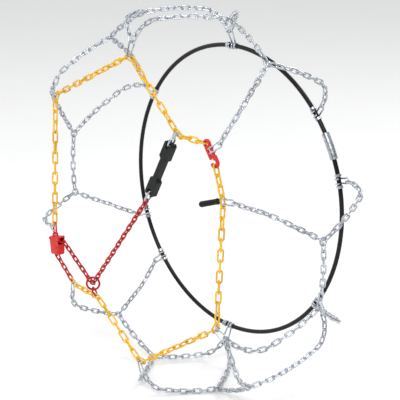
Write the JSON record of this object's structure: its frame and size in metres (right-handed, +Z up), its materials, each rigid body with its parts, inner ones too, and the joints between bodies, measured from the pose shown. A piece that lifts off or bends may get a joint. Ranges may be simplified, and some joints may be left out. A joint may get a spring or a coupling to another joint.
{
  "type": "tire snow chains",
  "caption": "Diamond-pattern snow chain closed round a tyre's shape: silver cross chains, yellow side chain, red tension chain with lock, guide ring and rubber tensioner.",
  "frame": {"origin": "centre of the wheel that the chain is fitted on, on the wheel's axis and its middle plane", "axes": "+Y along the wheel's axis towards the vehicle, so the outer face is towards -Y; +Z up; +X to the right as seen from the outer side"},
  "size_m": [0.7124, 0.2436, 0.6997],
  "materials": {
    "galvanised": "satin, worn zinc plating",
    "yellow_paint": "glossy yellow coat",
    "red_paint": "glossy red coat",
    "bright_red": "glossy bright red coat",
    "lock_steel": "plain steel",
    "rubber": "matte black",
    "cable_sleeve": "black plastic sleeve over steel cable"
  },
  "bodies": {
    "net": {"junction_rings": "galvanised", "outer_clips": "galvanised", "inner_clips": "galvanised", "side_chain_cb": "yellow_paint", "side_chain_ba": "yellow_paint", "side_chain_ah": "yellow_paint", "side_chain_gh": "yellow_paint", "side_chain_fg": "yellow_paint", "side_chain_ef": "yellow_paint", "side_chain_de": "yellow_paint", "closing_hook": "bright_red", "lock_shackle": "bright_red", "lock_strand": "red_paint", "return_strand": "red_paint", "ring_shackle": "red_paint", "lock_housing": "bright_red", "lock_cover": "bright_red", "lock_pins": "bright_red", "lock_spring": "lock_steel", "inner_cable": "cable_sleeve", "cable_ferrules": "galvanised", "black_grip": "rubber"},
    "outer_cross_1": {"outer_cross_1": "galvanised"},
    "outer_cross_2": {"outer_cross_2": "galvanised"},
    "outer_cross_3": {"outer_cross_3": "galvanised"},
    "outer_cross_4": {"outer_cross_4": "galvanised"},
    "outer_cross_5": {"outer_cross_5": "galvanised"},
    "outer_cross_6": {"outer_cross_6": "galvanised"},
    "outer_cross_7": {"outer_cross_7": "galvanised"},
    "outer_cross_8": {"outer_cross_8": "galvanised"},
    "outer_cross_9": {"outer_cross_9": "galvanised"},
    "outer_cross_10": {"outer_cross_10": "galvanised"},
    "outer_cross_11": {"outer_cross_11": "galvanised"},
    "outer_cross_12": {"outer_cross_12": "galvanised"},
    "inner_cross_1": {"inner_cross_1": "galvanised"},
    "inner_cross_2": {"inner_cross_2": "galvanised"},
    "inner_cross_3": {"inner_cross_3": "galvanised"},
    "inner_cross_4": {"inner_cross_4": "galvanised"},
    "inner_cross_5": {"inner_cross_5": "galvanised"},
    "inner_cross_6": {"inner_cross_6": "galvanised"},
    "inner_cross_7": {"inner_cross_7": "galvanised"},
    "inner_cross_8": {"inner_cross_8": "galvanised"},
    "inner_cross_9": {"inner_cross_9": "galvanised"},
    "inner_cross_10": {"inner_cross_10": "galvanised"},
    "inner_cross_11": {"inner_cross_11": "galvanised"},
    "inner_cross_12": {"inner_cross_12": "galvanised"},
    "centre_run_1": {"centre_run_1": "galvanised"},
    "centre_run_2": {"centre_run_2": "galvanised"},
    "centre_run_3": {"centre_run_3": "galvanised"},
    "centre_run_4": {"centre_run_4": "galvanised"},
    "centre_run_5": {"centre_run_5": "galvanised"},
    "centre_run_6": {"centre_run_6": "galvanised"},
    "guide_ring": {"guide_ring": "red_paint"},
    "pull_chain": {"pull_chain": "red_paint", "chain_connector": "galvanised"},
    "rubber_band": {"tensioner_band": "rubber"},
    "tensioner_hook": {"tensioner_hook": "galvanised"},
    "lock_roller": {"lock_roller": "lock_steel"},
    "lock_pawl": {"lock_pawl": "lock_steel"},
    "cable_coupling": {"cable_coupling": "galvanised"}
  },
  "joints": [
    {"name": "guide_ring_spin", "type": "hinge", "parent": "net", "child": "guide_ring", "pos_m": [-0.1402, -0.115, -0.1684], "axis": [0.7071, -0.7071, 0], "continuous": true},
    {"name": "pull_chain_lift", "type": "hinge", "parent": "net", "child": "pull_chain", "pos_m": [-0.13357, -0.11652, -0.16202], "axis": [0.7766, 0, -0.63], "range_deg": [0, 45]},
    {"name": "band_lift", "type": "hinge", "parent": "pull_chain", "child": "rubber_band", "pos_m": [0.0319, -0.115, 0.04316], "axis": [0.8715, 0, -0.4903], "range_deg": [0, 40]},
    {"name": "hook_lift", "type": "hinge", "parent": "rubber_band", "child": "tensioner_hook", "pos_m": [0.08688, -0.115, 0.14089], "axis": [0.8715, 0, -0.4903], "range_deg": [0, 45]},
    {"name": "lock_roller_spin", "type": "hinge", "parent": "net", "child": "lock_roller", "pos_m": [-0.25011, -0.1125, -0.12362], "axis": [0, 1, 0], "continuous": true},
    {"name": "lock_pawl_release", "type": "hinge", "parent": "net", "child": "lock_pawl", "pos_m": [-0.24635, -0.1125, -0.13248], "axis": [0, 1, 0], "range_deg": [0, 14], "stiffness_Nm_per_rad": 0.02},
    {"name": "coupling_slide", "type": "hinge", "parent": "net", "child": "cable_coupling", "pos_m": [0, 0.111, 0], "axis": [0, 1, 0], "range_deg": [-4, 4]},
    {"name": "outer_cross_1_sway", "type": "hinge", "parent": "net", "child": "outer_cross_1", "pos_m": [-0.02772, -0.10557, 0.29804], "axis": [-0.6442, 0.7271, 0.2373], "range_deg": [-8, 8]},
    {"name": "outer_cross_2_sway", "type": "hinge", "parent": "net", "child": "outer_cross_2", "pos_m": [-0.02284, -0.1052, 0.29828], "axis": [0.7009, 0.6708, 0.2426], "range_deg": [-8, 8]},
    {"name": "outer_cross_3_sway", "type": "hinge", "parent": "net", "child": "outer_cross_3", "pos_m": [0.19877, -0.10622, 0.15947], "axis": [0.0988, 0.5919, 0.8], "range_deg": [-8, 8]},
    {"name": "outer_cross_4_sway", "type": "hinge", "parent": "net", "child": "outer_cross_4", "pos_m": [0.23192, -0.10639, 0.06692], "axis": [0.7752, 0.5313, -0.3417], "range_deg": [-8, 8]},
    {"name": "outer_cross_5_sway", "type": "hinge", "parent": "net", "child": "outer_cross_5", "pos_m": [0.21637, -0.10627, -0.1732], "axis": [0.7235, 0.5755, 0.3812], "range_deg": [-8, 8]},
    {"name": "outer_cross_6_sway", "type": "hinge", "parent": "net", "child": "outer_cross_6", "pos_m": [0.21305, -0.10646, -0.1773], "axis": [-0.1398, 0.5633, -0.8143], "range_deg": [-8, 8]},
    {"name": "outer_cross_7_sway", "type": "hinge", "parent": "net", "child": "outer_cross_7", "pos_m": [-0.00797, -0.103, -0.31214], "axis": [0.6305, 0.7409, -0.2315], "range_deg": [-8, 8]},
    {"name": "outer_cross_8_sway", "type": "hinge", "parent": "net", "child": "outer_cross_8", "pos_m": [-0.01303, -0.10304, -0.31197], "axis": [-0.6483, 0.7383, -0.1859], "range_deg": [-8, 8]},
    {"name": "outer_cross_9_sway", "type": "hinge", "parent": "net", "child": "outer_cross_9", "pos_m": [-0.21962, -0.1047, -0.2095], "axis": [0.0537, 0.8186, -0.5719], "range_deg": [-8, 8]},
    {"name": "outer_cross_10_sway", "type": "hinge", "parent": "net", "child": "outer_cross_10", "pos_m": [-0.2847, -0.10414, -0.08942], "axis": [-0.51, 0.8172, 0.2686], "range_deg": [-8, 8]},
    {"name": "outer_cross_11_sway", "type": "hinge", "parent": "net", "child": "outer_cross_11", "pos_m": [-0.27333, -0.09668, 0.18294], "axis": [-0.4367, 0.577, -0.6902], "range_deg": [-8, 8]},
    {"name": "outer_cross_12_sway", "type": "hinge", "parent": "net", "child": "outer_cross_12", "pos_m": [-0.26957, -0.09642, 0.18943], "axis": [0.3477, 0.7041, 0.6192], "range_deg": [-8, 8]},
    {"name": "inner_cross_1_sway", "type": "hinge", "parent": "net", "child": "inner_cross_1", "pos_m": [-0.00781, 0.1042, 0.29791], "axis": [-0.7188, -0.6597, 0.2194], "range_deg": [-8, 8]},
    {"name": "inner_cross_2_sway", "type": "hinge", "parent": "net", "child": "inner_cross_2", "pos_m": [-0.00265, 0.10421, 0.29803], "axis": [0.6985, -0.6533, 0.292], "range_deg": [-8, 8]},
    {"name": "inner_cross_3_sway", "type": "hinge", "parent": "net", "child": "inner_cross_3", "pos_m": [0.22329, 0.10482, 0.1954], "axis": [-0.0715, -0.8049, 0.5891], "range_deg": [-8, 8]},
    {"name": "inner_cross_4_sway", "type": "hinge", "parent": "net", "child": "inner_cross_4", "pos_m": [0.28685, 0.10482, 0.07581], "axis": [0.424, -0.8087, -0.4078], "range_deg": [-8, 8]},
    {"name": "inner_cross_5_sway", "type": "hinge", "parent": "net", "child": "inner_cross_5", "pos_m": [0.24261, 0.10417, -0.17319], "axis": [0.5826, -0.709, 0.3973], "range_deg": [-8, 8]},
    {"name": "inner_cross_6_sway", "type": "hinge", "parent": "net", "child": "inner_cross_6", "pos_m": [0.23965, 0.10417, -0.17723], "axis": [-0.2627, -0.7056, -0.6581], "range_deg": [-8, 8]},
    {"name": "inner_cross_7_sway", "type": "hinge", "parent": "net", "child": "inner_cross_7", "pos_m": [-0.0078, 0.10416, -0.29793], "axis": [0.6088, -0.7232, -0.326], "range_deg": [-8, 8]},
    {"name": "inner_cross_8_sway", "type": "hinge", "parent": "net", "child": "inner_cross_8", "pos_m": [-0.013, 0.10416, -0.29775], "axis": [-0.6301, -0.7232, -0.2827], "range_deg": [-8, 8]},
    {"name": "inner_cross_9_sway", "type": "hinge", "parent": "net", "child": "inner_cross_9", "pos_m": [-0.22321, 0.10484, -0.19545], "axis": [0.0753, -0.7657, -0.6388], "range_deg": [-8, 8]},
    {"name": "inner_cross_10_sway", "type": "hinge", "parent": "net", "child": "inner_cross_10", "pos_m": [-0.27736, 0.10484, -0.10532], "axis": [-0.5286, -0.7657, 0.3664], "range_deg": [-8, 8]},
    {"name": "inner_cross_11_sway", "type": "hinge", "parent": "net", "child": "inner_cross_11", "pos_m": [-0.24853, 0.10434, 0.16406], "axis": [-0.5713, -0.6017, -0.5582], "range_deg": [-8, 8]},
    {"name": "inner_cross_12_sway", "type": "hinge", "parent": "net", "child": "inner_cross_12", "pos_m": [-0.24573, 0.10417, 0.16873], "axis": [0.1536, -0.6907, 0.7066], "range_deg": [-8, 8]},
    {"name": "centre_run_1_sway", "type": "hinge", "parent": "net", "child": "centre_run_1", "pos_m": [0.10142, 0.00925, 0.3364], "axis": [0.8786, -0.1869, -0.4395], "range_deg": [-12, 12]},
    {"name": "centre_run_2_sway", "type": "hinge", "parent": "net", "child": "centre_run_2", "pos_m": [0.35068, -0.02089, 0.00741], "axis": [-0.1338, 0.0912, -0.9868], "range_deg": [-12, 12]},
    {"name": "centre_run_3_sway", "type": "hinge", "parent": "net", "child": "centre_run_3", "pos_m": [0.18696, -0.02245, -0.29664], "axis": [-0.9012, 0.188, -0.3905], "range_deg": [-12, 12]},
    {"name": "centre_run_4_sway", "type": "hinge", "parent": "net", "child": "centre_run_4", "pos_m": [-0.1074, 0, -0.33469], "axis": [-0.891, 0, 0.454], "range_deg": [-12, 12]},
    {"name": "centre_run_5_sway", "type": "hinge", "parent": "net", "child": "centre_run_5", "pos_m": [-0.3479, 0, -0.05019], "axis": [0.0174, 0, 0.9998], "range_deg": [-12, 12]},
    {"name": "centre_run_6_sway", "type": "hinge", "parent": "net", "child": "centre_run_6", "pos_m": [-0.21742, 0, 0.27619], "axis": [0.8704, 0, 0.4924], "range_deg": [-12, 12]}
  ]
}
